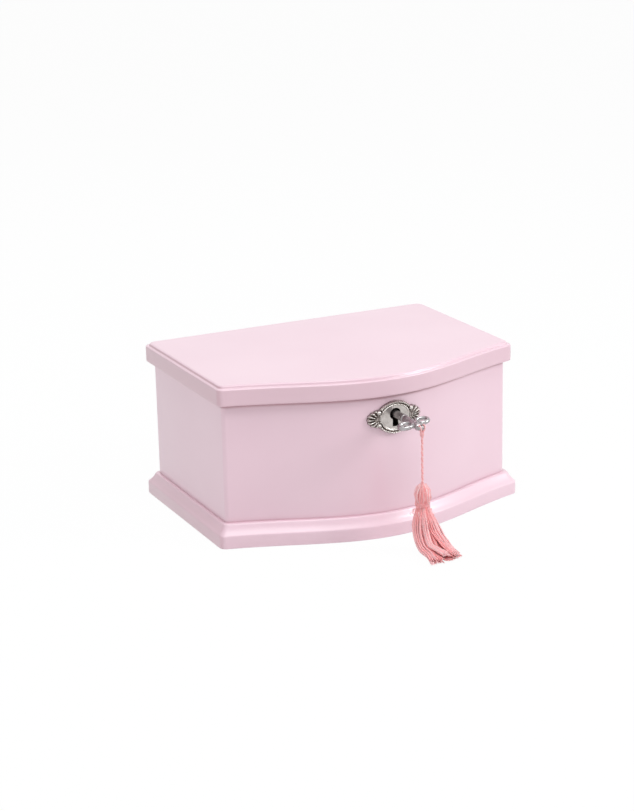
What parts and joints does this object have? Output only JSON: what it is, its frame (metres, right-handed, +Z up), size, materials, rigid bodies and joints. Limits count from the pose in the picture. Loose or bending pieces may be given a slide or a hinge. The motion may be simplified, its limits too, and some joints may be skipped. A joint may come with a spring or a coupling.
{
  "type": "ballerina jewellery box",
  "caption": "Bow-fronted jewellery box with a hinged lid, a lock with key and tassel, padded ring rolls and a wind-up movement that turns a dancer on a spring.",
  "frame": {"origin": "middle of the underside of the base board", "axes": "+Z up, the bowed front with the lock faces -Y, +X to the right of someone facing it"},
  "size_m": [0.2002, 0.2008, 0.0974],
  "materials": {
    "lacquer": "satin pink lacquer",
    "velvet": "flocked",
    "satin": "satin cloth over foam",
    "mirror": "silvered",
    "nickel": "antique nickel",
    "steel": "plated",
    "brass": "polished",
    "thread": "twisted rayon",
    "plastic": "painted",
    "net": "net"
  },
  "bodies": {
    "case": {"base_board": "lacquer", "front_wall": "lacquer", "back_wall": "lacquer", "left_wall": "lacquer", "right_wall": "lacquer", "wall_lining": "velvet", "floor_lining": "velvet", "front_divider": "velvet", "left_divider": "velvet", "right_divider": "velvet", "ring_bed": "velvet", "ring_roll_1": "satin", "ring_roll_2": "satin", "ring_roll_3": "satin", "ring_roll_4": "satin", "movement_cover": "velvet", "escutcheon": "nickel", "lock_case": "nickel", "hinge_leaf_body_left": "brass", "hinge_leaf_body_right": "brass", "hinge_pin_left": "brass", "hinge_pin_right": "brass", "movement_bedplate": "steel", "comb": "steel", "governor_cock": "brass"},
    "lid": {"lid_board": "lacquer", "lid_lining": "velvet", "lid_mirror": "mirror", "strike_plate": "nickel", "hinge_leaf_lid_left": "brass", "hinge_leaf_lid_right": "brass"},
    "key": {"lock_key": "nickel", "tassel_loop": "thread"},
    "bolt": {"lock_bolt": "steel"},
    "tassel": {"tassel_cord": "thread", "tassel_head": "thread", "tassel_skirt": "thread"},
    "winder": {"winding_key": "brass", "winding_arbor": "steel"},
    "drive": {"spring_barrel": "brass", "mainspring": "steel", "dancer_base": "plastic", "dancer_spring": "steel", "dancer_figure": "plastic", "dancer_tutu": "net"},
    "cylinder": {"tune_cylinder": "brass"},
    "governor": {"governor_wheel": "brass"},
    "fly": {"governor_fly": "brass"},
    "stop": {"stop_rod": "steel"}
  },
  "joints": [
    {"name": "lid_hinge", "type": "hinge", "parent": "case", "child": "lid", "pos_m": [0, 0.07005, 0.0827], "axis": [-1, 0, 0], "range_deg": [0, 100]},
    {"name": "key_turn", "type": "hinge", "parent": "case", "child": "key", "pos_m": [0.0022, -0.06725, 0.0736], "axis": [0, 1, 0], "range_deg": [-81, 90]},
    {"name": "tassel_swing", "type": "hinge", "parent": "key", "child": "tassel", "pos_m": [0.0022, -0.1002, 0.06978], "axis": [0, 1, 0], "range_deg": [-95, 95]},
    {"name": "bolt_slide", "type": "slide", "parent": "case", "child": "bolt", "axis": [1, 0, 0], "range_m": [-0.0031, 0.0031]},
    {"name": "winding_turn", "type": "hinge", "parent": "case", "child": "winder", "pos_m": [0, 0.03305, 0], "axis": [0, 0, 1], "continuous": true},
    {"name": "drive_turn", "type": "hinge", "parent": "case", "child": "drive", "pos_m": [0, 0.03305, 0.0141], "axis": [0, 0, 1], "continuous": true},
    {"name": "cylinder_turn", "type": "hinge", "parent": "case", "child": "cylinder", "pos_m": [0.0157, 0.03305, 0.0271], "axis": [1, 0, 0], "continuous": true},
    {"name": "governor_turn", "type": "hinge", "parent": "case", "child": "governor", "pos_m": [0.0313, 0.04345, 0.0228], "axis": [1, 0, 0], "continuous": true},
    {"name": "fly_turn", "type": "hinge", "parent": "case", "child": "fly", "pos_m": [0.0322, 0.04965, 0.0141], "axis": [0, 0, 1], "continuous": true},
    {"name": "stop_lift", "type": "slide", "parent": "case", "child": "stop", "axis": [0, 0, 1], "range_m": [0, 0.0041]}
  ],
  "couplings": [
    {"joint": "tassel_swing", "follows": "key_turn", "ratio": -1},
    {"joint": "bolt_slide", "follows": "key_turn", "m_per_rad": 0.0019},
    {"joint": "cylinder_turn", "follows": "drive_turn", "ratio": 3},
    {"joint": "governor_turn", "follows": "drive_turn", "ratio": -6},
    {"joint": "fly_turn", "follows": "drive_turn", "ratio": 42},
    {"joint": "stop_lift", "follows": "lid_hinge", "m_per_rad": 0.0023}
  ]
}
